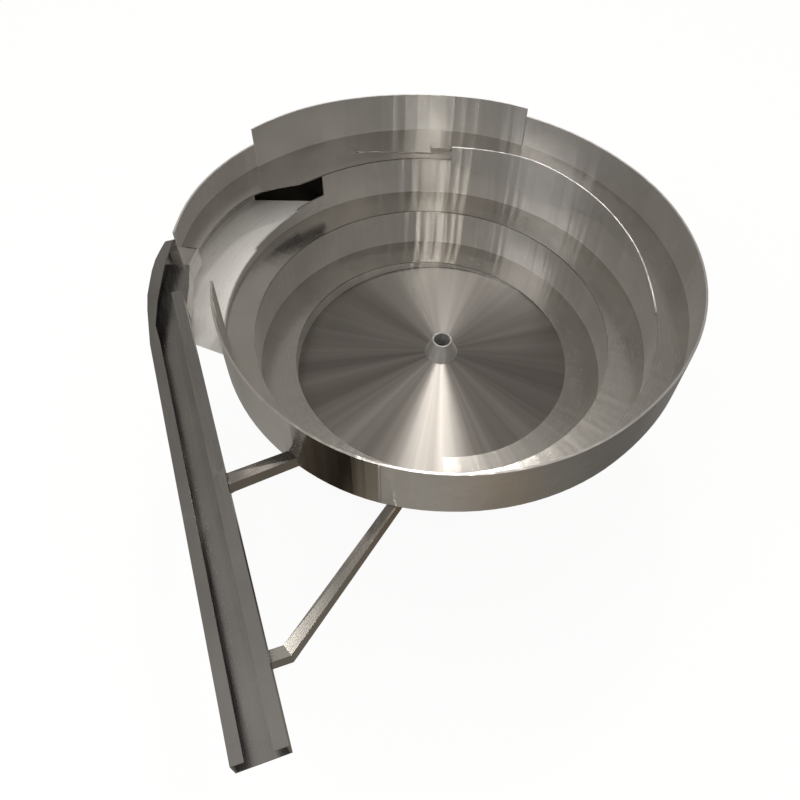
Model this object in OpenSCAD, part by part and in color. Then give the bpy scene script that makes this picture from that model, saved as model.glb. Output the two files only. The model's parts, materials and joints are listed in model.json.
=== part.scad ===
// Vibratory bowl feeder: spiral bowl with return pan and discharge chute on a leaf spring drive.
// Millimetres. Z up, floor at 0, origin on the bowl axis at the floor, front at -Y.
// Angles a run from the front (-Y), counter-clockwise seen from above. A turn t is a / 360.

// Sub-part to draw, or all

/* [Spiral] */
// Inner edge radius where the inner track starts, at the front
spiral_r = 125; // [95:1:170]
// Growth of the inner edge radius in one turn
turn_w = 35.8; // [28:0.1:48]
// Height of the climbing line at turn nought
spiral_z = 136; // [110:0.5:180]
// Climb in one turn
turn_z = 46.15; // [36:0.05:60]
// Height of the level start of the inner track
start_z = 151.5; // [120:0.5:200]
// Track and riser sheet thickness
sheet = 1.5; // [1:0.1:3]

/* [Bowl] */
// Height of the cone bottom at the axis
apex_z = 166.6; // [130:0.1:220]
// Fall of the cone bottom for each unit of radius
cone_fall = 0.106; // [0.05:0.001:0.2]
// Thickness of the cone bottom
disc_t = 2; // [1.5:0.1:4]
// Radius of the hub foot
hub_r = 17.3; // [14:0.1:26]
// Radius of the hub top
hub_top_r = 10.2; // [9.2:0.1:14]
// Height of the hub top
hub_z = 183.3; // [172:0.1:200]
// Bore radius of the hub
hub_bore = 8.5; // [6.5:0.1:9]
// Inner face radius of the outer wall at the front
wall_r = 221; // [190:1:280]
// Level top of the outer wall
wall_z = 284.5; // [262:0.5:330]
// Outer wall sheet thickness
wall_t = 2; // [1.5:0.1:4]
// Extra height of the back plate at its tallest
raised_h = 19.5; // [8:0.5:40]
// Tallest height of the crescent guard above the track
guard_h = 23.5; // [10:0.5:35]
// Height of the selector rail
selector_h = 4; // [2:0.1:10]
// Thickness of the selector plate
selector_t = 1; // [0.6:0.1:3]
// Height of the high part of the sill above the pan
sill_h = 8; // [4:0.5:16]

/* [Pan and chute] */
// Top of the return pan
pan_z = 221; // [218.5:0.1:226]
// Distance of the pan front corner left of the axis
pan_x = 250; // [235:1:262]
// Distance of the pan front corner in front of the axis
pan_y = 40.5; // [30:0.5:52]
// Top of the pan back wall
pan_wall_z = 253.5; // [235:0.5:254]
// Height of the strip beside the drop hole
drop_side_h = 19; // [10:0.5:22]
// Underside of the chute
chute_z = 260; // [259:0.1:264]
// Height of the chute
chute_h = 21; // [14:0.5:30]
// Width of the chute
chute_w = 35.8; // [30:0.1:45]
// Distance from the axis to the left face of the chute
chute_x = 274.6; // [270:0.1:285]
// Start of the straight chute along its own direction
chute_s = 3.3; // [0:0.1:12]
// Length of the straight chute
chute_l = 345; // [200:1:450]
// Length of the right lip ahead of the straight chute
lip_lead = 56.4; // [30:0.1:70]
// Width of the left lip
lip_left_w = 8.5; // [5:0.1:12]
// Width of the right lip
lip_right_w = 9.4; // [5:0.1:12]
// Width of the short arm
arm1_w = 11; // [8:0.1:16]
// Height of the short arm
arm1_h = 13; // [8:0.1:18]
// Height of the short arm top at the outer wall
arm1_z = 236; // [232:0.5:250]
// Width of the long arm
arm2_w = 8.5; // [6:0.1:14]
// Height of the long arm
arm2_h = 15; // [8:0.1:18]
// Height of the long arm top under the outer wall
arm2_z = 224.3; // [220:0.1:224.5]
// Distance of the long arm elbow from the chute face
elbow_gap = 12; // [6:0.5:40]
// Play between an arm end and the curved sheet that it is welded to
weld_gap = 0.1; // [0.05:0.01:0.2]

/* [Drive] */
// Height of the rubber feet
foot_h = 16; // [10:0.5:30]
// Radius of a rubber foot
foot_r = 14; // [10:0.5:16]
// Radius of the threaded bore in a foot
foot_bore = 3.4; // [2.5:0.1:5]
// Depth of the threaded bore in a foot
foot_bore_l = 9; // [6:0.5:10]
// Radius of a foot stud
stud_r = 4; // [3:0.1:5]
// Depth of a foot stud in its foot
stud_in = 5; // [4:0.5:6]
// Depth of a foot stud in the base
stud_up = 16; // [10:0.5:18]
// Thickness of the cast base
base_h = 22; // [19:0.5:40]
// Radius of the cast base
base_r = 92; // [90.5:0.5:95]
// Thickness of the cover
cover_t = 2; // [1.5:0.1:3]
// Height of the cover above the base
cover_h = 80; // [70:0.5:84]
// Lap of the cover down the base side
cover_lap = 10; // [8:0.5:14]
// Height of the top plate underside
plate_z = 112; // [111:0.1:114]
// Thickness of the top plate
plate_h = 10; // [8:0.5:10.5]
// Height of the base ring flange
flange_h = 6; // [4:0.5:10]
// Outer radius of the base ring
ring_r = 90; // [86:0.5:92]
// Wall thickness of the base ring
ring_t = 6; // [4:0.5:10]
// Width of the base ring flange
flange_w = 26; // [16:0.5:36]
// Thickness of a support rib
rib_t = 3; // [2:0.1:6]
// Height of a rib at the base ring
rib_h = 22; // [14:0.5:25]
// Height of a rib at its tip
rib_tip = 8; // [5:0.5:14]
// Radius of the hub post
post_r = 14; // [11:0.5:20]
// Height of the seat for the hold-down bolt
seat_z = 150; // [140:0.5:152]
// Shank radius of the hold-down bolt
bolt_r = 5; // [4:0.1:6]
// Running play round the hold-down bolt in the top plate
bolt_fit = 0.05; // [0.02:0.01:0.1]
// Play of the bolt in the post and under its washer
bolt_gap = 0.5; // [0.4:0.05:1]
// Head radius of the hold-down bolt
head_r = 7.8; // [6:0.1:8]
// Head height of the hold-down bolt
head_h = 10; // [6:0.5:12]
// Washer thickness
washer_t = 1.6; // [1:0.1:3]

/* [Springs and magnet] */
// Thickness of a leaf spring
leaf_t = 1.5; // [1:0.1:2]
// Length of a leaf spring
leaf_l = 72; // [66:0.5:73]
// Height of the middle of a leaf spring
leaf_z = 75; // [74.5:0.1:75.5]
// Lean of the leaf springs from upright, tops clockwise so that a turn up the track also lifts
leaf_lean = 20; // [10:1:30]
// Length of a leaf held in each clamp
grip_l = 16; // [14:0.5:18]
// Thickness of a spring block behind the leaves
block_t = 14; // [10:0.5:16]
// Extra length of a spring block past the leaf end
block_over = 8; // [7:0.5:12]
// Thickness of a clamp plate
clamp_t = 5; // [4:0.5:7]
// Radius of a clamp bolt
clamp_r = 3; // [2.5:0.1:3.5]
// Hole play round a clamp bolt
clamp_play = 0.4; // [0.35:0.05:0.6]
// Head radius of a clamp bolt
clamp_head_r = 5; // [4:0.1:5.5]
// Head height of a clamp bolt
clamp_head_h = 4; // [3:0.1:5]
// Depth of a clamp bolt in its block
clamp_in = 9; // [7:0.5:10]
// Air gap between magnet and armature
air_gap = 1.5; // [1:0.1:3]
// Thickness of the armature
armature_h = 8; // [6:0.5:10]
// Height of the magnet core
core_h = 40; // [34:0.5:44]
// Depth of the core windows
window_h = 26; // [20:0.5:28]
// Play round the coil in the core windows
coil_play = 0.5; // [0.3:0.1:1]
// Thickness of the magnet bracket foot
bracket_t = 6; // [4:0.5:10]
// Radius of a magnet screw
screw_r = 3; // [2.5:0.1:3.5]
// Radius of the cable gland
gland_r = 8; // [6:0.5:11]
// Bore radius of the cable gland
gland_bore = 4; // [3:0.1:5]
// Length of the gland outside the cover
gland_l = 16; // [10:0.5:24]
// Height of the gland middle
gland_z = 62; // [56:0.5:90]

/* [Hidden] */

// Plan sizes of the drive, each a share of the base's radius
foot_share = 75 / 92;
plate_share = 22 / 23;
spring_share = 31 / 46;
leaf_share = 15 / 46;
core_share = 15 / 23;
stack_share = 19 / 46;
bracket_share = 21 / 23;
foot_circle = base_r * foot_share;
plate_r = base_r * plate_share;
spring_c = base_r * spring_share;
leaf_w = base_r * leaf_share;
clamp_space = leaf_w * 8 / 15;
core_l = base_r * core_share;
core_w = base_r * stack_share;
pole_w = core_l / 6;
bracket_l = base_r * bracket_share;

$fn = 96;
steel = [0.72, 0.72, 0.7];
bright = [0.8, 0.8, 0.79];
dark = [0.25, 0.25, 0.26];
iron = [0.33, 0.36, 0.38];
rubber = [0.1, 0.1, 0.1];
copper = [0.62, 0.34, 0.18];
grey = [0.5, 0.52, 0.55];

// Angle between two stations of a swept sheet, in degrees
step = 3;
// Turns where the inner track leaves the bowl bottom and where its climb is steady
leave_t = 0.2;
steady_t = 0.45;
// Station where the outer riser ends and the sill starts
sill_a = 217.5;
// Ends of the outer wall, the seam at the front and the seam at the back
wall_angle = -84;
seam_a = -15;
lap_a = 159;
wall_a1 = 261;
// End of the outer track at the drop hole
drop_angle = 259.5;

// Outer wall radius as a share of its front radius, by angle
wall_shares = [[-85, 0.98], [-60, 0.978], [-40, 0.985], [-20, 0.998], [0, 1], [45, 1],
  [60, 1.018], [75, 1.046], [90, 1.075], [105, 1.1], [120, 1.126], [135, 1.15], [150, 1.183],
  [165, 1.213], [180, 1.228], [200, 1.239], [220, 1.248], [235, 1.257], [250, 1.241],
  [262, 1.196]];
// Inner edge of the outer track past the end of the riser, share of the wall radius by angle
shelf_shares = [[222, 0.9896], [225, 0.998], [230, 1.047], [234, 1.086], [238, 1.11],
  [244, 1.121], [252, 1.127], [260, 1.131]];
// Extra height of the back plate by angle
raised_shares = [[158, 0.56], [181, 0.56], [190, 0.64], [200, 0.74], [210, 0.9], [220, 1],
  [231, 1]];
// Guard height above and below the track by angle
guard_top_shares = [[87, 0.04], [97, 0.13], [107, 0.47], [119, 0.64], [128, 0.81],
  [147, 0.96], [153, 1], [162, 0.85], [169, 0.77], [177, 0.68]];
guard_low_shares = [[87, 0.1], [128, 0.1], [138, 0.6], [147, 0.96], [157, 0.77], [165, 0.64],
  [171, 0.34], [177, 0.15]];
// Selector edges as shares of the wall radius by angle
plate_in_shares = [[183, 1.01], [192, 1.023], [204, 1.084]];
plate_out_shares = [[183, 1.063], [192, 1.077], [204, 1.132]];
rail_in_share = 1.032;
rail_out_share = 1.077;
// Sill top: high part, middle part and flush part, shares of the sill height by angle
sill_shares = [[217, 1], [227.4, 1], [227.6, 0.5], [245.9, 0.5], [246.1, 0], [276, 0]];
// Outer line of the entry guide and inner line of its lip, shares of the wall radius
guide_shares = [[-1.187, 0.165], [-1.226, 0.149], [-1.235, 0.1], [-1.244, 0.036],
  [-1.244, -0.032], [-1.238, -0.104], [-1.231, -0.176], [-1.213, -0.258]];
guide_lip_shares = [[-1.196, 0.14], [-1.199, 0.018], [-1.19, -0.118], [-1.184, -0.204],
  [-1.163, -0.339]];
// Right side of the entry floor
entry_side_shares = [[-1.131, 0.1], [-1.108, -0.036]];

cone_in = hub_bore;
skirt_z = line_z(2) - sheet;
pan_low = pan_z - sheet;
lip_z = chute_z + chute_h - sheet;
base_z = foot_h + base_h;
core_z = plate_z - armature_h - air_gap - core_h;
leaf_gap = leaf_t / 2;
pack_half = leaf_t * 3 / 2;

function edge_r(t) = spiral_r + turn_w * t;
function blend_z(t) = (spiral_z + turn_z * steady_t - start_z)
  * pow((t - leave_t) / (steady_t - leave_t), 2);
function line_z(t) = t < leave_t ? start_z
  : t < steady_t ? start_z + blend_z(t) : spiral_z + turn_z * t;
function cone_z(r) = apex_z - cone_fall * r;
function follow(t) = max(0, min(1, (steady_t - t) / (steady_t - leave_t)));
function top_z(t, r) = line_z(t) + (cone_z(r) - start_z) * follow(t);
// Running mean over fifteen degrees of a table read by straight lines
function smooth(a, tab) = (lookup(a - 6, tab) + lookup(a - 3, tab) + lookup(a, tab)
  + lookup(a + 3, tab) + lookup(a + 6, tab)) / 5;
function wall(a) = wall_r * smooth(a, wall_shares);
// Inner face of the sill and outer edge of the middle track beside the pan
function sill_r(a) = let (k = (a - sill_a) / (276 - sill_a))
  edge_r(2 + sill_a / 360) * (1 - k) + wall(wall_angle) * k;
function track_out(a) = a <= sill_a ? edge_r(2 + a / 360) : a < 276 ? sill_r(a) : wall(a - 360);
function shelf_in(a) = a < 222 ? edge_r(2 + a / 360) : wall_r * lookup(a, shelf_shares);
function wall_low(a) = a < 0 ? line_z(2 + a / 360) - sheet : a < 202 ? skirt_z : pan_low;
function at(r, a, z) = [r * sin(a), -r * cos(a), z];
function at2(r, a) = [r * sin(a), -r * cos(a)];
// Stations from a0 to a1, with one more where the riser ends
function stations(a0, a1) = [for (a = [a0 : step : a1]) each
  (a < sill_a && a + step > sill_a && a1 >= sill_a ? [a, sill_a] : [a])];
// Point in the chute's own frame: c across, s along
chute_a = 20;
function in_chute(c, s) = [c * cos(chute_a) + s * sin(chute_a),
  c * sin(chute_a) - s * cos(chute_a)];
function unit(v) = v / norm(v);
function side_of(v) = [-v[1], v[0]];
// Mitred offset vector at point i of an open line
function mitre(p, i) = let (e = unit(i == 0 ? p[1] - p[0] : p[i] - p[i - 1]),
  f = unit(i == len(p) - 1 ? p[i] - p[i - 1] : p[i + 1] - p[i]), m = side_of(e), k = side_of(f))
  (m + k) / (1 + m * k);
function shift(p, w) = [for (i = [0 : len(p) - 1]) p[i] + w * mitre(p, i)];
function flip(p) = [for (i = [len(p) - 1 : -1 : 0]) p[i]];

// Solid swept round the axis: one anticlockwise outline of [radius, height] at each angle
module sweep(rings, angles) {
  n = len(rings[0]);
  last = len(rings) - 1;
  points = [for (i = [0 : last]) for (q = rings[i]) at(q[0], angles[i], q[1])];
  sides = [for (i = [0 : last - 1]) for (j = [0 : n - 1]) let (k = (j + 1) % n) each
    [[i * n + j, i * n + k, (i + 1) * n + k], [i * n + j, (i + 1) * n + k, (i + 1) * n + j]]];
  ends = [[for (j = [n - 1 : -1 : 0]) j], [for (j = [0 : n - 1]) last * n + j]];
  polyhedron(points = points, faces = concat(sides, ends));
}

// Solid through four-cornered sections, each [centre, half width vector, top height]
module bar(sections, h) {
  last = len(sections) - 1;
  points = [for (s = sections) each [
    [s[0][0] - s[1][0], s[0][1] - s[1][1], s[2] - h],
    [s[0][0] + s[1][0], s[0][1] + s[1][1], s[2] - h],
    [s[0][0] + s[1][0], s[0][1] + s[1][1], s[2]],
    [s[0][0] - s[1][0], s[0][1] - s[1][1], s[2]]]];
  sides = [for (i = [0 : last - 1]) for (j = [0 : 3]) let (k = (j + 1) % 4) each
    [[i * 4 + j, (i + 1) * 4 + k, i * 4 + k], [i * 4 + j, (i + 1) * 4 + j, (i + 1) * 4 + k]]];
  ends = [[0, 1, 2, 3], [for (j = [3 : -1 : 0]) last * 4 + j]];
  polyhedron(points = points, faces = concat(sides, ends));
}

function plank(r0, r1, z0, z1) = [[r0, z0], [r1, z0], [r1, z1], [r0, z1]];

// Cone bottom with a spiral rim, closed on itself, with one step at the front
module disc_shape() {
  m = 360 / step;
  low = [for (i = [0 : m - 1]) let (a = i * step, r = edge_r(a / 360)) each [
    at(cone_in, a, cone_z(cone_in) - disc_t), at(r, a, cone_z(r) - disc_t),
    at(r, a, cone_z(r)), at(cone_in, a, cone_z(cone_in))]];
  r1 = edge_r(1);
  e = 4 * m;
  f = 4 * (m - 1);
  points = concat(low, [at(r1, 0, cone_z(r1) - disc_t), at(r1, 0, cone_z(r1))]);
  body = [for (i = [0 : m - 2]) for (j = [0 : 3]) let (k = (j + 1) % 4) each
    [[i * 4 + j, i * 4 + k, (i + 1) * 4 + k], [i * 4 + j, (i + 1) * 4 + k, (i + 1) * 4 + j]]];
  close = [[f, f + 1, e], [f, e, 1], [f, 1, 0], [f + 1, f + 2, e + 1], [f + 1, e + 1, e],
    [f + 3, 3, 2], [f + 3, 2, e + 1], [f + 3, e + 1, f + 2], [f + 3, f, 0], [f + 3, 0, 3],
    [1, e, e + 1, 2]];
  polyhedron(points = points, faces = concat(body, close));
}

module bowl_disc() color(steel) disc_shape();

module centre_hub() color(bright) rotate_extrude()
  polygon([[hub_bore, cone_z(hub_bore)], [hub_r, cone_z(hub_r)], [hub_top_r, hub_z],
    [hub_bore, hub_z]]);

// Tube between the top plate and the bowl bottom, with the seat of the hold-down bolt
module hub_post() color(dark) rotate_extrude()
  polygon([[bolt_r + bolt_gap, plate_z + plate_h], [post_r, plate_z + plate_h],
    [post_r, cone_z(post_r) - disc_t], [hub_bore, cone_z(hub_bore) - disc_t],
    [hub_bore, seat_z], [bolt_r + bolt_gap, seat_z]]);

function track_ring(t, r1) = let (r0 = edge_r(t))
  [[r0, top_z(t, r0) - sheet], [r1, top_z(t, r1) - sheet], [r1, top_z(t, r1)],
    [r0, top_z(t, r0)]];

module track_inner() color(steel) {
  s = stations(0, 360);
  sweep([for (a = s) track_ring(a / 360, edge_r(a / 360 + 1))], s);
}

module track_middle() color(steel) {
  s = stations(0, 360);
  sweep([for (a = s) track_ring(1 + a / 360, track_out(a))], s);
}

module track_outer() color(steel) {
  s = concat(stations(0, drop_angle - step / 2), [drop_angle]);
  sweep([for (a = s) let (z = line_z(2 + a / 360)) plank(shelf_in(a), wall(a), z - sheet, z)],
    s);
}

// Riser under the inner edge of a track: a0 to a1 in turns of the upper track
module riser(turn, a0, a1) {
  s = stations(a0, a1);
  sweep([for (a = s) let (t = turn + a / 360, r = edge_r(t))
    plank(r, r + sheet, (turn == 0 ? cone_z(r) - disc_t : top_z(t - 1, r) - sheet),
      top_z(t, r) - sheet)], s);
}

module riser_inner() color(steel) riser(0, 108, 360);
module riser_middle() color(steel) riser(1, 0, 360);
module riser_outer() color(steel) riser(2, 0, sill_a);

module wall_piece(a0, a1) {
  s = stations(a0, a1);
  sweep([for (a = s) plank(wall(a), wall(a) + wall_t, wall_low(a), wall_z)], s);
}

module wall_front_left() color(dark) wall_piece(wall_angle, seam_a);
module wall_right() color(steel) wall_piece(seam_a, lap_a);
module wall_back_left() color(steel) wall_piece(lap_a, wall_a1);

module raised_back_plate() color(bright) {
  s = stations(lap_a, 228);
  sweep([for (a = s) plank(wall(a) - sheet, wall(a), line_z(2 + a / 360),
    wall_z + raised_h * smooth(a, raised_shares))], s);
}

module crescent_guard() color(bright) {
  s = stations(87, 177);
  sweep([for (a = s) let (r = edge_r(2 + a / 360), z = line_z(2 + a / 360))
    plank(r - sheet, r, z - guard_h * smooth(a, guard_low_shares),
      z + guard_h * smooth(a, guard_top_shares))], s);
}

module selector_plate() color(bright) {
  s = stations(183, 204);
  sweep([for (a = s) let (z = line_z(2 + a / 360)) plank(wall_r * lookup(a, plate_in_shares),
    wall_r * lookup(a, plate_out_shares), z + weld_gap, z + weld_gap + selector_t)], s);
}

module selector_rail() color(bright) {
  s = [177, 180, 183];
  sweep([for (a = s) let (z = line_z(2 + a / 360))
    plank(wall_r * rail_in_share, wall_r * rail_out_share, z + weld_gap,
      z + weld_gap + selector_h)], s);
}

pan_front = [-pan_x, -pan_y];
pan_corner = at2(sill_r(sill_a) + sheet, sill_a);
pan_left = wall_r * guide_shares[0];
pan_turn = wall_r * guide_shares[2];

module return_pan() color(steel) translate([0, 0, pan_low]) linear_extrude(sheet)
  polygon(concat([pan_front], [for (a = [285 : -step : 276]) at2(wall(a - 360) + wall_t, a)],
    [for (a = [276 : -step : 219]) at2(sill_r(a) + sheet, a)], [pan_corner],
    [for (a = [231 : step : 261]) at2(wall(a), a)], [pan_left, guide_line[1], pan_turn]));

// Upright between the pan and the underside of the outer track
module pan_back_wall() color(dark) translate([0, 0, pan_z]) linear_extrude(pan_wall_z - pan_z)
  polygon([pan_corner, pan_corner - [sheet, sheet * 3 / 4],
    at2(wall(231), 231) + [sheet * 2, -sheet], at2(wall(231), 231) + [sheet * 2, 0]]);

// Upright between the pan and the entry floor, under the left side of the chute
module pan_side_wall() color(steel) translate([0, 0, pan_z]) linear_extrude(chute_z - pan_z)
  polygon([pan_front, pan_front + [sheet, 0], pan_turn + [sheet, -sheet],
    pan_turn + [0, -sheet]]);

// Strip on the pan side of the drop hole and of the entry floor. Rejected parts slide out
// under it, back into the pan.
module drop_hole_side() color(steel) translate([0, 0, chute_z - drop_side_h])
  linear_extrude(drop_side_h) polygon(concat(drop_line, flip(shift(drop_line, -sheet))));

module return_sill() color(steel) {
  s = [sill_a, 219, 222, 225, 227.4, 227.6, 228, 231, 234, 237, 240, 243, 245.9, 246.1, 249,
    252, 255, 258, 261, 264, 267, 270, 273, 276];
  sweep([for (a = s) plank(sill_r(a), sill_r(a) + sheet, line_z(1 + a / 360) - sheet,
    pan_z + sill_h * lookup(a, sill_shares))], s);
}

guide_line = concat(wall_r * guide_shares, [in_chute(-chute_x, chute_s)]);
guide_lip_line = concat(wall_r * guide_lip_shares,
  [in_chute(-chute_x + lip_left_w, chute_s)]);
right_c = -chute_x + chute_w;
drop_line = concat([at2(shelf_in(drop_angle), drop_angle)], wall_r * entry_side_shares,
  [in_chute(right_c, chute_s - lip_lead)]);

// The first part reaches down to the pan, past the drop hole
module entry_guide_wall() color(bright) {
  inner = shift(guide_line, sheet);
  translate([0, 0, chute_z]) linear_extrude(chute_h - sheet)
    polygon(concat(guide_line, flip(inner)));
  translate([0, 0, pan_z]) linear_extrude(chute_z - pan_z) polygon([guide_line[0],
    guide_line[1], guide_line[2], inner[2], inner[1], inner[0]]);
}

module entry_guide_lip() color(bright) translate([0, 0, lip_z]) linear_extrude(sheet)
  polygon(concat(guide_line, flip(guide_lip_line)));

// Floor between the drop hole and the chute, with its upright right side
module entry_tray() color(steel) {
  inner = shift(guide_line, sheet);
  translate([0, 0, chute_z]) linear_extrude(sheet)
    polygon(concat([for (i = [2 : len(inner) - 1]) inner[i]],
      [in_chute(right_c, chute_s), in_chute(right_c, chute_s - lip_lead)],
      flip(wall_r * entry_side_shares)));
  translate([0, 0, chute_z]) linear_extrude(chute_h - sheet)
    polygon([in_chute(right_c - sheet, chute_s), in_chute(right_c, chute_s),
      in_chute(right_c, chute_s - lip_lead), in_chute(right_c - sheet, chute_s - lip_lead)]);
}

// Straight box along the chute: c0 to c1 across, s0 to s1 along, z0 to z1
module along(c0, c1, s0, s1, z0, z1) rotate([0, 0, chute_a]) translate([c0, -s1, z0])
  cube([c1 - c0, s1 - s0, z1 - z0]);

module chute_channel() color(bright) difference() {
  along(-chute_x, right_c, chute_s, chute_s + chute_l, chute_z, lip_z);
  along(-chute_x + sheet, right_c - sheet, chute_s - sheet, chute_s + chute_l + sheet,
    chute_z + sheet, lip_z + sheet);
}

module chute_left_lip() color(bright)
  along(-chute_x, -chute_x + lip_left_w, chute_s, chute_s + chute_l, lip_z, lip_z + sheet);

module chute_right_lip() color(bright)
  along(right_c - lip_right_w, right_c, chute_s - lip_lead, chute_s + chute_l, lip_z,
    lip_z + sheet);

// Short arm: from the outer wall up to the chute edge, then level under the chute
arm1_share = 0.4116;
arm1_a = -36.7;
arm1_start = at2(wall(arm1_a) + wall_t + weld_gap, arm1_a);
arm1_edge = in_chute(right_c, arm1_share * chute_l);
arm1_dir = unit(arm1_edge - arm1_start);
arm1_side = arm1_w / 2 * side_of(arm1_dir);
arm1_tan = [cos(arm1_a), sin(arm1_a)];

module arm_short() color(steel) bar([
  [arm1_start, arm1_w / 2 / abs(arm1_tan * side_of(arm1_dir)) * arm1_tan, arm1_z],
  [arm1_edge, arm1_side, chute_z],
  [arm1_edge + arm1_dir * (chute_w * 0.66), arm1_side, chute_z]], arm1_h);

// Long arm: from the middle riser under the outer wall up to the elbow, then under the chute
arm2_share = 0.829;
arm2_a = -10.4;
arm2_r = edge_r(2 + arm2_a / 360) + sheet + weld_gap;
arm2_start = at2(arm2_r, arm2_a);
arm2_elbow = in_chute(right_c + elbow_gap, arm2_share * chute_l);
arm2_end = in_chute(right_c - chute_w * 0.66, arm2_share * chute_l);
arm2_path = [arm2_start, arm2_elbow, arm2_end];
arm2_tan = [cos(arm2_a), sin(arm2_a)];
// Height of the arm top at its inner end, so that it passes just under the outer wall
arm2_k = (wall_r - arm2_r) / (norm(arm2_elbow) - arm2_r);
arm2_low = (arm2_z - chute_z * arm2_k) / (1 - arm2_k);

module arm_long() color(steel) bar([
  [arm2_start, arm2_w / 2 / abs(arm2_tan * mitre(arm2_path, 0)) * arm2_tan, arm2_low],
  [arm2_elbow, arm2_w / 2 * mitre(arm2_path, 1), chute_z],
  [arm2_end, arm2_w / 2 * mitre(arm2_path, 2), chute_z]], arm2_h);

flange_z = plate_z + plate_h;

module bowl_base_ring() color(grey) rotate_extrude()
  polygon([[ring_r - flange_w, flange_z], [ring_r, flange_z],
    [ring_r, cone_z(ring_r) - disc_t], [ring_r - ring_t, cone_z(ring_r - ring_t) - disc_t],
    [ring_r - ring_t, flange_z + flange_h], [ring_r - flange_w, flange_z + flange_h]]);

// Ribs under the bowl bottom and the inner track
module support_ribs() color(grey) for (a = [30 : 60 : 330]) {
  t = a / 360;
  r0 = edge_r(t);
  r1 = edge_r(t + 1) - sheet;
  step_r = r0 + sheet * 2;
  under = min(cone_z(r0) - disc_t, top_z(t, r0) - sheet) - weld_gap * 2;
  over = top_z(t - 0.003, step_r) - sheet - weld_gap * 2;
  tip = top_z(t - 0.003, r1) - sheet - weld_gap * 2;
  foot = cone_z(ring_r) - disc_t;
  rotate([0, 0, a - 90]) translate([0, rib_t / 2, 0]) rotate([90, 0, 0])
    linear_extrude(rib_t) polygon([[ring_r, foot - rib_h], [step_r + rib_t, under - rib_tip],
      [r1, tip - rib_tip], [r1, tip], [step_r, over], [step_r, under], [r0 - sheet, under],
      [r0 - sheet, cone_z(r0 - sheet) - disc_t - weld_gap], [ring_r, foot - weld_gap]]);
}

module top_plate() color(iron) difference() {
  translate([0, 0, plate_z]) cylinder(h = plate_h, r = plate_r);
  translate([0, 0, plate_z - plate_h]) cylinder(h = plate_h * 3, r = bolt_r + bolt_fit);
  armature_spots() translate([0, 0, plate_z - plate_h]) cylinder(h = plate_h * 3, r = screw_r);
}

shank_z = plate_z + plate_h / 5;
head_z = seat_z + bolt_gap + washer_t;

// Bolt down the middle, with a socket in its head
module hold_down_bolt() color(dark) difference() {
  union() {
    translate([0, 0, shank_z]) cylinder(h = head_z - shank_z, r = bolt_r);
    translate([0, 0, head_z]) cylinder(h = head_h, r = head_r);
  }
  translate([0, 0, head_z + head_h / 2]) cylinder(h = head_h, r = head_r / 2);
}

module hold_down_washer() color(steel) difference() {
  translate([0, 0, seat_z + bolt_gap]) cylinder(h = washer_t, r = head_r);
  translate([0, 0, seat_z]) cylinder(h = head_h, r = bolt_r);
}

screw_x = core_l / 2 - pole_w / 2;

module armature_spots() for (x = [-screw_x, screw_x]) translate([x, 0, 0]) children();

module armature() color(dark) difference() {
  translate([-core_l / 2, -core_w / 2, plate_z - armature_h])
    cube([core_l, core_w, armature_h]);
  armature_spots() translate([0, 0, plate_z - armature_h * 2])
    cylinder(h = armature_h * 3, r = screw_r);
}

// Put in from above, with their heads on the plate in the space inside the bowl's ring
module armature_screws() color(grey) armature_spots() {
  translate([0, 0, plate_z - armature_h * 0.8]) cylinder(h = plate_h + armature_h * 0.8,
    r = screw_r);
  translate([0, 0, plate_z + plate_h]) cylinder(h = screw_r, r = screw_r * 1.7);
}

module packs() for (a = [0, 120, 240]) rotate([0, 0, a]) translate([spring_c, 0, leaf_z])
  rotate([leaf_lean, 0, 0]) children();

// Box in the tilted frame of a pack: x radial, y across the leaves, z along the leaves
module slab(y0, y1, z0, z1) translate([-leaf_w / 2, y0, z0])
  cube([leaf_w, y1 - y0, z1 - z0]);

module pair_holes(y0, y1, z, r) for (x = [-clamp_space / 2, clamp_space / 2])
  translate([x, y1, z]) rotate([90, 0, 0]) cylinder(h = y1 - y0, r = r);

half_l = leaf_l / 2;
grip_mid = half_l - grip_l / 2;

module leaf_springs() color(bright) packs() for (k = [-1, 1]) difference() {
  slab(k * leaf_t - leaf_gap, k * leaf_t + leaf_gap, -half_l, half_l);
  for (z = [-grip_mid, grip_mid])
    pair_holes(-leaf_t * 4, leaf_t * 4, z, clamp_r + clamp_play);
}

module spacer() difference() {
  slab(-leaf_gap, leaf_gap, -half_l, -half_l + grip_l);
  pair_holes(-leaf_t * 4, leaf_t * 4, -grip_mid, clamp_r);
}

module clamp_plate() difference() {
  slab(pack_half, pack_half + clamp_t, -half_l, -half_l + grip_l);
  pair_holes(0, pack_half * 2 + clamp_t * 2, -grip_mid, clamp_r);
}

module clamp_bolts() {
  pair_holes(-pack_half - clamp_in, pack_half + clamp_t, -grip_mid, clamp_r);
  pair_holes(pack_half + clamp_t, pack_half + clamp_t + clamp_head_h, -grip_mid,
    clamp_head_r);
}

module block_raw() difference() {
  slab(-pack_half - block_t, -pack_half, -half_l - block_over, -half_l + grip_l);
  pair_holes(-pack_half - clamp_in, pack_half, -grip_mid, clamp_r);
}

module over_turn() rotate([180, 0, 0]) children();

module lower_spacers() color(steel) packs() spacer();
module lower_clamp_plates() color(steel) packs() clamp_plate();
module lower_clamp_bolts() color(dark) packs() clamp_bolts();
module upper_spacers() color(steel) packs() over_turn() spacer();
module upper_clamp_plates() color(steel) packs() over_turn() clamp_plate();
module upper_clamp_bolts() color(dark) packs() over_turn() clamp_bolts();

module lower_spring_blocks() color(iron) difference() {
  packs() block_raw();
  translate([0, 0, base_z - base_h * 2]) cylinder(h = base_h * 2, r = base_r * 2);
}

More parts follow.
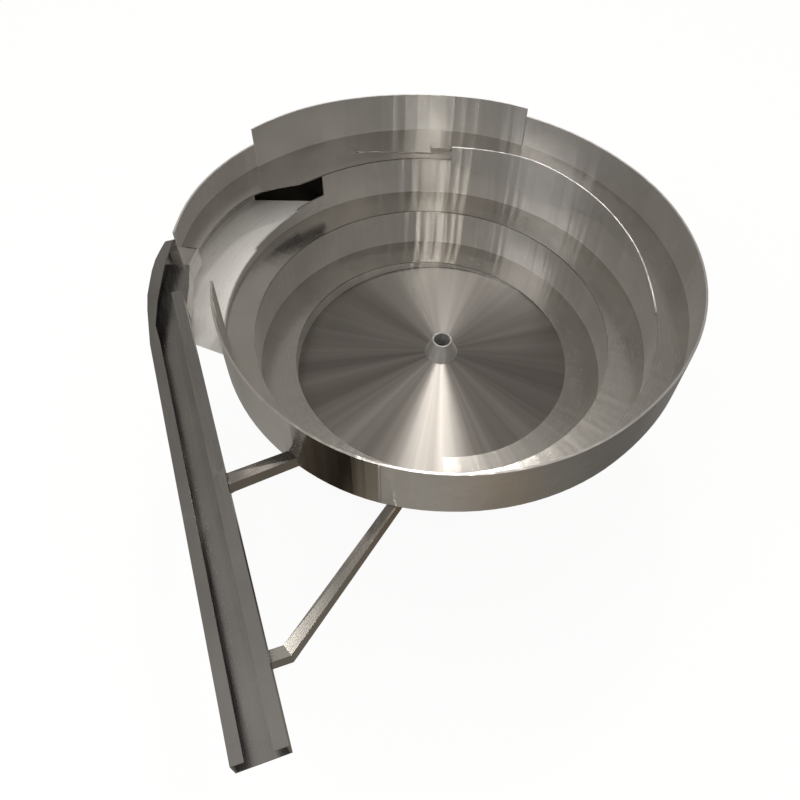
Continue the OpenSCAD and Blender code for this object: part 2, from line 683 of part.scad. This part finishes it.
module upper_spring_blocks() color(iron) difference() {
  packs() over_turn() block_raw();
  translate([0, 0, plate_z]) cylinder(h = base_h * 2, r = base_r * 2);
}

module foot_spots() for (a = [45 : 90 : 315]) rotate([0, 0, a])
  translate([foot_circle, 0, 0]) children();

screw_a = 30;
cover_screw_z = base_z - cover_lap / 2;
cover_screw_r = screw_r * 2 / 3;

module cover_spots() for (a = [screw_a : 90 : 270 + screw_a]) rotate([0, 0, a])
  translate([0, 0, cover_screw_z]) rotate([0, 90, 0]) children();

bracket_spot = bracket_l / 2 - screw_r * 2;

module base_plate() color(iron) difference() {
  translate([0, 0, foot_h]) cylinder(h = base_h, r = base_r);
  foot_spots() cylinder(h = foot_h + stud_up, r = stud_r);
  cover_spots() translate([0, 0, base_r - cover_lap]) cylinder(h = cover_lap * 2,
    r = cover_screw_r);
  for (x = [-bracket_spot, bracket_spot]) translate([x, 0, base_z - base_h / 2])
    cylinder(h = base_h, r = screw_r);
}

module rubber_feet() color(rubber) foot_spots() difference() {
  cylinder(h = foot_h, r = foot_r);
  translate([0, 0, -foot_bore_l]) cylinder(h = foot_bore_l * 2, r = foot_bore);
  translate([0, 0, foot_h - stud_in]) cylinder(h = foot_h, r = stud_r);
}

module foot_studs() color(steel) foot_spots() translate([0, 0, foot_h - stud_in])
  cylinder(h = stud_in + stud_up, r = stud_r);

// Plate over the base with a raised seat for the core
module magnet_bracket() color(grey) difference() {
  union() {
    translate([-bracket_l / 2, -core_w / 4, base_z]) cube([bracket_l, core_w / 2, bracket_t]);
    translate([-core_l / 2, -core_w / 2, base_z]) cube([core_l, core_w, core_z - base_z]);
  }
  for (x = [-bracket_spot, bracket_spot]) translate([x, 0, base_z - bracket_t])
    cylinder(h = bracket_t * 3, r = screw_r);
}

module magnet_screws() color(dark) for (x = [-bracket_spot, bracket_spot])
  translate([x, 0, base_z]) {
    translate([0, 0, -base_h / 2]) cylinder(h = base_h / 2 + bracket_t, r = screw_r);
    translate([0, 0, bracket_t]) cylinder(h = screw_r, r = screw_r * 1.7);
  }

window_w = (core_l - pole_w * 4) / 2;

module magnet_core() color(dark) difference() {
  translate([-core_l / 2, -core_w / 2, core_z]) cube([core_l, core_w, core_h]);
  for (x = [-core_l / 2 + pole_w, pole_w])
    translate([x, -core_w, core_z + core_h - window_h])
      cube([window_w, core_w * 2, window_h * 2]);
}

// Winding round the middle pole, with rounded corners left square as it is out of sight
module magnet_coil() color(copper) difference() {
  w = window_w - coil_play * 2;
  z0 = core_z + core_h - window_h + coil_play;
  h = window_h - coil_play * 4;
  translate([-pole_w - coil_play - w, -core_w / 2 - coil_play - w, z0])
    cube([(pole_w + coil_play + w) * 2, core_w + (coil_play + w) * 2, h]);
  translate([-pole_w - coil_play, -core_w / 2 - coil_play, z0 - h])
    cube([(pole_w + coil_play) * 2, core_w + coil_play * 2, h * 3]);
}

gland_y = base_r + cover_t;

module cover() color(grey) difference() {
  translate([0, 0, base_z - cover_lap]) cylinder(h = cover_h + cover_lap,
    r = base_r + cover_t);
  translate([0, 0, base_z - cover_lap * 2]) cylinder(h = cover_h * 2, r = base_r);
  cover_spots() translate([0, 0, base_r - cover_lap]) cylinder(h = cover_lap * 2,
    r = cover_screw_r);
  translate([0, base_r / 2, gland_z]) rotate([-90, 0, 0]) cylinder(h = base_r,
    r = gland_r * 0.75);
}

module cover_screws() color(dark) cover_spots() {
  translate([0, 0, base_r - cover_lap]) cylinder(h = cover_lap + cover_t, r = cover_screw_r);
  translate([0, 0, base_r + cover_t]) cylinder(h = cover_screw_r, r = cover_screw_r * 1.8);
}

// Gland through the cover: neck, shoulder and dome round one bore
module cable_gland() color(rubber) difference() {
  union() {
    translate([0, base_r - gland_r, gland_z]) rotate([-90, 0, 0])
      cylinder(h = gland_r + cover_t + gland_l / 4, r = gland_r * 0.75);
    translate([0, gland_y + weld_gap, gland_z]) rotate([-90, 0, 0])
      cylinder(h = gland_l / 2, r = gland_r);
    translate([0, gland_y + gland_l / 2, gland_z]) rotate([-90, 0, 0])
      cylinder(h = gland_l / 2, r1 = gland_r * 0.9, r2 = gland_r * 0.7);
  }
  translate([0, base_r - gland_r * 2, gland_z]) rotate([-90, 0, 0])
    cylinder(h = gland_r * 2 + gland_l * 2, r = gland_bore);
}

module gland_nut() color(rubber) difference() {
  translate([0, base_r - gland_r * 0.8, gland_z]) rotate([-90, 0, 0])
    cylinder(h = gland_r * 0.6, r = gland_r);
  translate([0, base_r - gland_r * 2, gland_z]) rotate([-90, 0, 0])
    cylinder(h = gland_r * 3, r = gland_r * 0.75);
}

bowl_disc();
centre_hub();
hub_post();
track_inner();
track_middle();
track_outer();
riser_inner();
riser_middle();
riser_outer();
wall_front_left();
wall_right();
wall_back_left();
raised_back_plate();
crescent_guard();
selector_plate();
selector_rail();
return_pan();
pan_back_wall();
pan_side_wall();
drop_hole_side();
return_sill();
entry_tray();
entry_guide_wall();
entry_guide_lip();
chute_channel();
chute_left_lip();
chute_right_lip();
arm_short();
arm_long();
bowl_base_ring();
support_ribs();
top_plate();
armature();
armature_screws();
upper_spring_blocks();
upper_clamp_plates();
upper_spacers();
upper_clamp_bolts();
hold_down_bolt();
hold_down_washer();
leaf_springs();
lower_spring_blocks();
lower_clamp_plates();
lower_spacers();
lower_clamp_bolts();
base_plate();
magnet_core();
magnet_coil();
magnet_bracket();
magnet_screws();
rubber_feet();
foot_studs();
cover();
cover_screws();
cable_gland();
gland_nut();
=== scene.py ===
# %% [markdown]
# # A vibratory bowl feeder in sheet steel
#
# The solid model gives every plate and bar its true shape and place. This script adds what a
# solid model leaves out: the grain of brushed steel, the beads where sheets are welded, a studio
# to mirror, and a camera. Lengths are in metres, the floor is at height 0, the bowl turns about
# the vertical axis through the origin, and the chute points to the front, which is -Y.

# %% Load the frame
import json
import math

import bpy
import numpy as np
from mathutils import Euler, Matrix, Vector


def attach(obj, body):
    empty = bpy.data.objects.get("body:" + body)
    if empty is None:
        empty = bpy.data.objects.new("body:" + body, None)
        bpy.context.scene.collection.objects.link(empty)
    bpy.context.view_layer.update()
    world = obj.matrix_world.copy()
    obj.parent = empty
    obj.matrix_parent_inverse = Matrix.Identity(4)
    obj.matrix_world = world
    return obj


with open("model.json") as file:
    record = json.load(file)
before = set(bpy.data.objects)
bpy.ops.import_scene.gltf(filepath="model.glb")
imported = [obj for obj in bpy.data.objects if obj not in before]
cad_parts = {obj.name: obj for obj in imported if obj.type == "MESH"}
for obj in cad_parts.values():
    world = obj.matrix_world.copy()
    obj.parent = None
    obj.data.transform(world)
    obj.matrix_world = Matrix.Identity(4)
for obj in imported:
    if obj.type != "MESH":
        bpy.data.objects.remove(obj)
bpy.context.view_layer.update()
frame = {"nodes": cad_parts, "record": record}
nodes = frame["nodes"]

# %% [markdown]
# ## Camera
#
# The lens, height and tilt come from matching the spiral's edges and the chute's parallel edges.
# The camera looks down at 53.6 degrees, so it sees into the bowl and hides the drive under it.
# The lens in millimetres is focal pixels * sensor width / picture width.

# %% Camera
FOCAL_PX, PICTURE, SENSOR = 721.68, 800, 36.0
EYE = Vector((-0.0427, -0.4978, 0.7506))
TILT, ROLL = math.radians(36.42), math.radians(1.014)
lens = bpy.data.cameras.new("camera")
lens.sensor_width = SENSOR
lens.lens = FOCAL_PX * SENSOR / PICTURE
lens.clip_start = 0.01
camera = bpy.data.objects.new("camera", lens)
camera.matrix_world = (Matrix.Translation(EYE)
                       @ Euler((TILT, 0, 0)).to_matrix().to_4x4()
                       @ Matrix.Rotation(ROLL, 4, "Z"))
bpy.context.scene.collection.objects.link(camera)
bpy.context.scene.camera = camera
scene = bpy.context.scene
scene.render.resolution_x = scene.render.resolution_y = PICTURE
scene.view_settings.view_transform = "Standard"
print("lens", round(lens.lens, 2), "mm, eye", [round(v, 3) for v in EYE])

# %% [markdown]
# ## Colours and shader nodes
#
# Colours are written as sRGB codes and turned into linear light by one function. A second
# function adds a shader node and fills its sockets, from a number or from another node. The
# last one gives round coordinates: the distance from the axis, the angle about it, the height,
# and the direction along the circumference, which is the direction that the sheets are brushed.

# %% Helpers for shaders
def colour(code):
    """Linear colour of an sRGB code: c / 12.92 up to 0.04045, else ((c + 0.055) / 1.055)^2.4."""
    c = np.array([int(code[i:i + 2], 16) for i in (0, 2, 4)]) / 255
    lin = np.where(c <= 0.04045, c / 12.92, ((c + 0.055) / 1.055) ** 2.4)
    return (*[float(v) for v in lin], 1.0)


def add(tree, kind, inputs=None, **settings):
    """New node with its settings, each input set to a value or linked from a socket."""
    node = tree.nodes.new("ShaderNode" + kind)
    for key, value in settings.items():
        setattr(node, key, value)
    for key, value in (inputs or {}).items():
        if isinstance(value, bpy.types.NodeSocket):
            tree.links.new(value, node.inputs[key])
        else:
            node.inputs[key].default_value = value
    return node


def sums(tree, operation, a, b=0.0, clamp=False):
    """Result of one Math node on a and b."""
    return add(tree, "Math", {0: a, 1: b}, operation=operation, use_clamp=clamp).outputs[0]


def spread(tree, value, a, b, c, d):
    """value moved from the range a..b to the range c..d, held at the ends."""
    return add(tree, "MapRange", {"Value": value, "From Min": a, "From Max": b, "To Min": c,
                                  "To Max": d}).outputs[0]


def round_coordinates(tree):
    """Radius sqrt(x^2 + y^2), angle atan2(y, x), height z and the level direction z x position."""
    at = add(tree, "TexCoord").outputs["Object"]
    x, y, z = add(tree, "SeparateXYZ", {0: at}).outputs
    radius = sums(tree, "SQRT", sums(tree, "ADD", sums(tree, "MULTIPLY", x, x),
                                     sums(tree, "MULTIPLY", y, y)))
    angle = sums(tree, "ARCTAN2", y, x)
    along = add(tree, "VectorMath", {0: (0, 0, 1), 1: at}, operation="CROSS_PRODUCT")
    along = add(tree, "VectorMath", {0: along.outputs[0]}, operation="NORMALIZE")
    return at, radius, angle, z, along.outputs[0]


def noise(tree, vector, scale, detail=2.0, rough=0.5):
    """Value of a noise with that many waves for each unit of the vector."""
    return add(tree, "TexNoise", {"Vector": vector, "Scale": scale, "Detail": detail,
                                  "Roughness": rough}).outputs[0]


def new_material(name):
    """Empty material, its tree and its output node."""
    mat = bpy.data.materials.new(name)
    mat.use_nodes = True
    tree = mat.node_tree
    tree.nodes.clear()
    return mat, tree, tree.nodes.new("ShaderNodeOutputMaterial")


print("sheet colour", [round(v, 3) for v in colour("D8D5D1")[:3]])

# %% [markdown]
# ## Metals and other surfaces
#
# Brushed sheet has scratches under a millimetre wide and a few centimetres long. Stretched noise
# gives them: it changes fast across the brush direction and slowly along it. It moves the
# roughness and tips the surface a little. Wide noise adds handling marks. Brushing also smears
# reflections across the scratches, which the anisotropic setting does along the given tangent.
# Scratches, rings and handling marks are counted per metre. Along the brush a scratch changes so
# many times per radian round the axis, or per metre along the chute, and a bent sheet bends so
# many times per radian and per metre of height.

# %% Materials
CHUTE_TURN = math.radians(20)
SCRATCHES = 1600.0
RINGS = 1500.0
SCRATCH_DEPTH = 0.0002
ALONG_ROUND, ALONG_CHUTE = 9.0, 40.0
HANDLING = 14.0
BENDS_ROUND, BENDS_UP = 14.0, 3.0


def sheet_steel(name, code, rough, aniso, grain="round", mark=0.05, tilt=0.05, wave=0.0,
                metallic=1.0):
    """Brushed steel. Scratches run round the axis, or along the chute. wave bends the sheet."""
    mat, tree, out = new_material(name)
    at, radius, angle, z, along = round_coordinates(tree)
    if grain == "round":
        parts = {0: sums(tree, "MULTIPLY", radius, SCRATCHES),
                 1: sums(tree, "MULTIPLY", z, SCRATCHES),
                 2: sums(tree, "MULTIPLY", angle, ALONG_ROUND)}
        tangent = along
    else:
        turned = add(tree, "VectorRotate", {"Vector": at, "Angle": -CHUTE_TURN},
                     rotation_type="Z_AXIS").outputs[0]
        x, y, h = add(tree, "SeparateXYZ", {0: turned}).outputs
        parts = {0: sums(tree, "MULTIPLY", x, SCRATCHES),
                 1: sums(tree, "MULTIPLY", y, ALONG_CHUTE),
                 2: sums(tree, "MULTIPLY", h, SCRATCHES)}
        tangent = (math.sin(CHUTE_TURN), -math.cos(CHUTE_TURN), 0.0)
    lines = noise(tree, add(tree, "CombineXYZ", parts).outputs[0], 1.0, 2.0, 0.6)
    wide = noise(tree, at, HANDLING, 3.0, 0.55)
    base = add(tree, "Mix", {"Factor": spread(tree, wide, 0.35, 0.7, 0.0, 1.0),
                             6: colour(code), 7: tuple(v * (1 - 3 * mark) for v in
                                                       colour(code)[:3]) + (1.0,)},
               data_type="RGBA").outputs[2]
    bend = noise(tree, add(tree, "CombineXYZ", {0: sums(tree, "MULTIPLY", angle, BENDS_ROUND),
                                                1: sums(tree, "MULTIPLY", z, BENDS_UP),
                                                2: 0.0}).outputs[0], 1.0, 1.0)
    bent = add(tree, "Bump", {"Strength": 1.0, "Distance": wave, "Height": bend})
    bump = add(tree, "Bump", {"Strength": tilt, "Distance": SCRATCH_DEPTH, "Height": lines,
                              "Normal": bent.outputs[0]})
    shade = add(tree, "BsdfPrincipled", {
        "Base Color": base, "Metallic": metallic,
        "Roughness": sums(tree, "ADD", spread(tree, lines, 0.3, 0.7, rough - mark, rough + mark),
                          spread(tree, wide, 0.3, 0.7, -mark / 2, mark / 2)),
        "Anisotropic": aniso, "Anisotropic Rotation": 0.25, "Tangent": tangent,
        "Normal": bump.outputs[0]})
    tree.links.new(shade.outputs[0], out.inputs[0])
    return mat


def turned_steel(name, dark, light, rough):
    """Lathe-turned cone. Rings smear light outward, so streaks spread out from the middle. Its
    base colour is darker than the other sheets, as painted dark reflection, and lighter in streaks
    that change only with the angle, as painted highlight streaks, which are also a little
    smoother.
    """
    mat, tree, out = new_material(name)
    _, radius, angle, _, along = round_coordinates(tree)
    rings = noise(tree, add(tree, "CombineXYZ", {
        0: sums(tree, "MULTIPLY", radius, RINGS), 1: sums(tree, "MULTIPLY", angle, 3.0),
        2: 0.0}).outputs[0], 1.0, 2.0, 0.6)
    painted_streaks_and_polish = noise(tree, along, 5.0, 3.0, 0.5)
    # Painted highlight streaks: the base colour goes from the dark code to the lighter one in
    # streaks that change only with the angle.
    base = add(tree, "Mix", {"Factor": spread(tree, painted_streaks_and_polish, 0.35, 0.68, 0.0, 1.0),
                             6: colour(dark), 7: colour(light)}, data_type="RGBA").outputs[2]
    bump = add(tree, "Bump", {"Strength": 0.06, "Distance": SCRATCH_DEPTH, "Height": rings})
    shade = add(tree, "BsdfPrincipled", {
        "Base Color": base, "Metallic": 1.0,
        "Roughness": spread(tree, painted_streaks_and_polish, 0.3, 0.7, rough + 0.03, rough - 0.03),
        "Anisotropic": 0.95, "Anisotropic Rotation": 0.25, "Tangent": along,
        "Normal": bump.outputs[0]})
    tree.links.new(shade.outputs[0], out.inputs[0])
    return mat


def plain(name, code, metallic, rough, texture=400.0, bumps=0.1, coat=0.0):
    """Paint, rubber, plastic or dark metal with a fine grain."""
    mat, tree, out = new_material(name)
    at = add(tree, "TexCoord").outputs["Object"]
    grain = noise(tree, at, texture, 3.0, 0.6)
    wide = noise(tree, at, 25.0, 2.0)
    bump = add(tree, "Bump", {"Strength": bumps, "Distance": 0.0004, "Height": grain})
    base = add(tree, "Mix", {"Factor": spread(tree, wide, 0.35, 0.65, 0.0, 1.0),
                             6: colour(code), 7: tuple(v * 0.82 for v in colour(code)[:3])
                             + (1.0,)}, data_type="RGBA").outputs[2]
    shade = add(tree, "BsdfPrincipled", {
        "Base Color": base, "Metallic": metallic,
        "Roughness": spread(tree, grain, 0.3, 0.7, rough - 0.05, rough + 0.05),
        "Coat Weight": coat, "Coat Roughness": 0.25, "Normal": bump.outputs[0]})
    tree.links.new(shade.outputs[0], out.inputs[0])
    return mat


MATERIALS = {
    "bowl_sheet": sheet_steel("bowl_sheet", "D8D5D1", 0.32, 0.85, wave=0.0008, metallic=0.9),
    "riser_sheet": sheet_steel("riser_sheet", "D6D3CE", 0.34, 0.9, wave=0.0012, metallic=0.85),
    # Tracks are darker than the risers' sheet: painted shade on the same steel, so that the steps
    # show.
    "track_sheet": sheet_steel("track_sheet", "B5B1AB", 0.22, 0.3, wave=0.0002),
    "bright_sheet": sheet_steel("bright_sheet", "DEDCD9", 0.38, 0.93, wave=0.0008),
    "dark_sheet": sheet_steel("dark_sheet", "D0CCC6", 0.15, 0.3, wave=0.0006),
    # The pan is paler and less metallic than the bowl's sheet: painted reflected light, standing
    # in for the bright surroundings that it mirrors.
    "pan_sheet": sheet_steel("pan_sheet", "EAE7E2", 0.3, 0.2, wave=0.0004, metallic=0.3),
    # Near-black sheet for the pan's back wall: painted shade, where the wall stands in the shadow
    # under the shelf.
    "painted_shade_sheet": sheet_steel("painted_shade_sheet", "1E1B18", 0.4, 0.0),
    # Bowl disc: a base darker than the other sheets as painted dark reflection, with lighter
    # radial streaks as painted highlight.
    "turned_sheet": turned_steel("turned_sheet", "7E7974", "9B9792", 0.3),
    # The chute's sheet is darker than the bowl's: painted dark reflection of the surroundings it
    # mirrors.
    "chute_sheet": sheet_steel("chute_sheet", "84817E", 0.27, 0.4, "chute"),
    "arm_bar": sheet_steel("arm_bar", "9C9892", 0.24, 0.2, "chute", 0.03, 0.01),
    "ring_paint": plain("ring_paint", "7B8288", 0.0, 0.42, 500.0, 0.1, 0.1),
    "drive_iron": plain("drive_iron", "4F565C", 0.0, 0.5, 350.0, 0.35),
    "clamp_steel": plain("clamp_steel", "A9A9A8", 1.0, 0.35),
    "spring_steel": plain("spring_steel", "7E848E", 1.0, 0.3),
    "black_screw": plain("black_screw", "26262A", 0.9, 0.38),
    "lamination": plain("lamination", "3A3936", 0.6, 0.5),
    "winding": plain("winding", "9A5428", 0.9, 0.35),
    "foot_rubber": plain("foot_rubber", "1B1B1C", 0.0, 0.75, 600.0, 0.3),
    "cover_paint": plain("cover_paint", "838A8F", 0.0, 0.4, 700.0, 0.12, 0.15),
    "gland_plastic": plain("gland_plastic", "1E1E20", 0.0, 0.45),
}
print("materials", len(MATERIALS))

# %% [markdown]
# ## Which surface goes where
#
# Each plate or bar keeps its mesh and only changes its material. The record says which slot a
# node belongs to. The cone bottom was turned on a lathe, so its scratches are rings, and the
# chute's run along it. The tracks are painted darker than the risers, as painted shade on the
# same steel, so that the steps show.

# %% Dress the nodes
slot_of = {s["node"]: s["material_slot"] for s in frame["record"]["subparts"]}
# The pan's back wall takes the near-black sheet of painted shade.
OWN = {"bowl_disc": "turned_sheet", "return_pan": "pan_sheet", "pan_back_wall": "painted_shade_sheet"}
OWN.update({f"riser_{n}": "riser_sheet" for n in ("inner", "middle", "outer")})
OWN.update({n: "track_sheet" for n in ("track_inner", "track_middle", "track_outer",
                                       "selector_plate", "selector_rail")})
OWN.update({n: "chute_sheet" for n in ("chute_channel", "chute_left_lip", "chute_right_lip",
                                       "entry_tray", "entry_guide_wall", "entry_guide_lip")})
for name, ob in nodes.items():
    ob.data.materials.clear()
    ob.data.materials.append(MATERIALS[OWN.get(name, slot_of[name])])
print("dressed", len(nodes), "nodes")

# %% [markdown]
# ## Weld beads
#
# Sheets are joined by thin beads with ripples. A bead is a tube round a path. At each point the
# ring of radius r * (1 + 0.12 sin(2 pi s / pitch)) lies in the plane across the path, where s is
# the length along it. All rings are computed together as one array.

# %% Weld beads
WALL_SHARES = [(-85, 0.98), (-60, 0.978), (-40, 0.985), (-20, 0.998), (0, 1), (45, 1),
               (60, 1.018), (75, 1.046), (90, 1.075), (105, 1.1), (120, 1.126), (135, 1.15),
               (150, 1.183), (165, 1.213), (180, 1.228), (200, 1.239), (220, 1.248),
               (235, 1.257), (250, 1.241), (262, 1.196)]
WALL_R, WALL_T, WALL_TOP = 0.221, 0.002, 0.2845


def wall(a):
    """Inner radius of the outer wall at angle a in degrees from the front: a running mean."""
    xs, ys = zip(*WALL_SHARES)
    return WALL_R * np.mean([np.interp(a + d, xs, ys) for d in (-6, -3, 0, 3, 6)], axis=0)


def place(r, a, z):
    """Points (r sin a, -r cos a, z) for an angle a in degrees."""
    a = np.radians(np.asarray(a, float))
    return np.stack(np.broadcast_arrays(r * np.sin(a), -r * np.cos(a), z), -1)


def bead(name, path, radius, material="bright_sheet", pitch=0.0022, sides=8):
    """Rippled tube along a path of points, closed at both ends by a flat face."""
    path = np.asarray(path, float)
    seg = np.linalg.norm(np.diff(path, axis=0), axis=1)
    s = np.concatenate([[0], np.cumsum(seg)])
    steps = np.linspace(0, s[-1], max(3, int(s[-1] / (pitch / 4))))
    line = np.stack([np.interp(steps, s, path[:, k]) for k in range(3)], -1)
    ahead = np.gradient(line, axis=0)
    ahead /= np.linalg.norm(ahead, axis=1, keepdims=True)
    up = np.where(np.abs(ahead[:, 2:]) > 0.9, [[1.0, 0, 0]], [[0, 0, 1.0]])
    side = np.cross(ahead, up)
    side /= np.linalg.norm(side, axis=1, keepdims=True)
    top = np.cross(side, ahead)
    r = radius * (1 + 0.12 * np.sin(2 * np.pi * steps / pitch))
    r[0] = r[-1] = radius * 0.5
    turn = np.arange(sides) * 2 * np.pi / sides
    ring = (side[:, None] * np.cos(turn)[None, :, None]
            + top[:, None] * np.sin(turn)[None, :, None]) * r[:, None, None]
    verts = (line[:, None] + ring).reshape(-1, 3)
    i, j = np.meshgrid(np.arange(len(line) - 1), np.arange(sides), indexing="ij")
    k = (j + 1) % sides
    quads = np.stack([i * sides + j, i * sides + k, (i + 1) * sides + k, (i + 1) * sides + j],
                     -1).reshape(-1, 4).tolist()
    last = (len(line) - 1) * sides
    quads += [list(range(sides))[::-1], [last + v for v in range(sides)]]
    return mesh_from(name, verts, quads, material)


def mesh_from(name, verts, faces, material, body="bowl"):
    """Object at the origin with a smooth mesh, riding on a body."""
    mesh = bpy.data.meshes.new(name)
    mesh.from_pydata(np.asarray(verts).tolist(), [], faces)
    mesh.materials.append(MATERIALS[material])
    mesh.polygons.foreach_set("use_smooth", np.ones(len(mesh.polygons), bool))
    mesh.update()
    ob = bpy.data.objects.new(name, mesh)
    bpy.context.scene.collection.objects.link(ob)
    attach(ob, body)
    return ob


def chute_point(c, s, z):
    """Point c across and s along the chute: (c, -s) turned by the chute's angle."""
    across, down = math.cos(CHUTE_TURN), math.sin(CHUTE_TURN)
    return (c * across + s * down, c * down - s * across, z)


SEAM, LAP = -15, 159
SEAM_R, JOINT_R, ARM_R = 0.0011, 0.0009, 0.0012
WELD_TOP = WALL_TOP - 0.0006
CHUTE_SIDE, ARM_TOP = -0.2392, 0.2594
for name, angle, foot in (("weld_front_seam", SEAM, 0.227), ("weld_back_lap", LAP, 0.229)):
    bead(name, place(wall(angle) + WALL_T, angle, np.linspace(foot, WELD_TOP, 12)), SEAM_R)
bead("weld_chute_joint", [chute_point(c, 0.0033, 0.2595) for c in (-0.2738, -0.257, -0.2396)],
     JOINT_R, "chute_sheet")
for name, spots in (("weld_arm_long", (0.2816, 0.286, 0.2906)),
                    ("weld_arm_short", (0.136, 0.142, 0.1482))):
    bead(name, [chute_point(CHUTE_SIDE, s, ARM_TOP) for s in spots], ARM_R, "arm_bar")

# %% [markdown]
# ## Studio
#
# Steel shows what stands round it. A camera ray that misses the feeder sees white. A mirrored
# ray sees a soft grey room with a brighter ceiling, and a floor that darkens towards the left.
# The direction of a ray is the Generated coordinate of the world, so its z is the sine of the
# ray's height above the horizon. The key light behind the bowl draws the bright streak down the
# cone, the wide fill comes from the left, and a small front light serves the upright plates.

# %% Floor, world and lights
def gradient(tree, value, stops):
    """Colour ramp with the given (place, code) stops, read at a value from 0 to 1."""
    ramp = add(tree, "ValToRGB", {0: value})
    ends = ramp.color_ramp.elements
    ends[0].position, ends[0].color = stops[0][0], colour(stops[0][1])
    ends[1].position, ends[1].color = stops[-1][0], colour(stops[-1][1])
    for place_at, code in stops[1:-1]:
        ends.new(place_at).color = colour(code)
    return ramp.outputs[0]


def studio_world():
    """World that is white to the camera, a graded room to mirrors, and grey to everything else."""
    world = bpy.data.worlds.new("studio")
    bpy.context.scene.world = world
    world.use_nodes = True
    tree = world.node_tree
    tree.nodes.clear()
    ray = add(tree, "LightPath").outputs
    way = add(tree, "TexCoord").outputs["Generated"]
    x, y, z = add(tree, "SeparateXYZ", {0: way}).outputs
    room = gradient(tree, z, [(0.0, "86837F"), (0.3, "A8A5A1"), (0.6, "A29F9B"),
                              (0.78, "8E8B87"), (0.9, "C4C1BD"), (1.0, "EBE9E6")])
    azimuth = sums(tree, "ARCTAN2", y, x)
    sector = noise(tree, add(tree, "CombineXYZ", {0: sums(tree, "MULTIPLY", azimuth, 2.6),
                                                  1: z, 2: 0.0}).outputs[0], 1.0, 1.0)
    shade = spread(tree, sector, 0.38, 0.6, 0.55, 1.5)
    mirror = add(tree, "Background", {"Color": room, "Strength": shade})
    soft = add(tree, "Background", {"Color": colour("DCDAD7"), "Strength": 1.3})
    white = add(tree, "Background", {"Color": (1, 1, 1, 1), "Strength": 1.0})
    mixed = add(tree, "MixShader", {0: ray["Is Glossy Ray"], 1: soft.outputs[0],
                                    2: mirror.outputs[0]})
    final = add(tree, "MixShader", {0: ray["Is Camera Ray"], 1: mixed.outputs[0],
                                    2: white.outputs[0]})
    out = tree.nodes.new("ShaderNodeOutputWorld")
    tree.links.new(final.outputs[0], out.inputs[0])


def studio_floor():
    """Pale floor; to mirrors it is a table whose tone changes round the bowl."""
    mat, tree, out = new_material("floor")
    angle = round_coordinates(tree)[2]
    ray = add(tree, "LightPath").outputs
    table = gradient(tree, spread(tree, angle, -math.pi, math.pi, 0.0, 1.0), [
        (0.0, "8E8B86"), (0.03, "9C9994"), (0.075, "A5A29D"), (0.1, "463F37"), (0.15, "221D17"),
        (0.165, "5C564D"), (0.19, "8C857A"), (0.24, "8E8980"), (0.28, "7F7466"),
        (0.31, "76674F"), (0.36, "504A41"), (0.42, "363330"), (0.46, "4C4A47"), (0.5, "6E6C69"),
        (1.0, "8E8B86")])
    dark = add(tree, "Emission", {"Color": table, "Strength": 1.0})
    pale = add(tree, "BsdfDiffuse", {"Color": colour("F2F1EF")})
    glow = add(tree, "Emission", {"Color": (1, 1, 1, 1), "Strength": 1.0})
    seen = add(tree, "MixShader", {0: 0.9, 1: pale.outputs[0], 2: glow.outputs[0]})
    mixed = add(tree, "MixShader", {0: ray["Is Glossy Ray"], 1: pale.outputs[0],
                                    2: dark.outputs[0]})
    final = add(tree, "MixShader", {0: ray["Is Camera Ray"], 1: mixed.outputs[0],
                                    2: seen.outputs[0]})
    tree.links.new(final.outputs[0], out.inputs[0])
    bpy.ops.mesh.primitive_plane_add(size=30, location=(0, 0, -0.0002))
    floor = bpy.context.object
    floor.name = "floor"
    floor.data.materials.append(mat)


def area_light(name, eye, target, size, power, tint="FFFFFF"):
    """Soft square light at eye, aimed at target."""
    data = bpy.data.lights.new(name, "AREA")
    data.shape, data.size, data.energy = "SQUARE", size, power
    data.color = colour(tint)[:3]
    ob = bpy.data.objects.new(name, data)
    ob.location = eye
    ob.rotation_euler = (Vector(target) - Vector(eye)).to_track_quat("-Z", "Y").to_euler()
    bpy.context.scene.collection.objects.link(ob)
    return ob


studio_world()
studio_floor()
area_light("key", (0.06, 0.75, 1.9), (0.02, 0, 0.2), 0.16, 5, "FFFDFA")
area_light("fill", (-1.4, -0.9, 1.3), (0, 0, 0.2), 1.1, 8, "FAFBFF")
area_light("front", (0.14, -1.0, 1.7), (0, 0.1, 0.25), 0.2, 4.5, "FFFDFA")
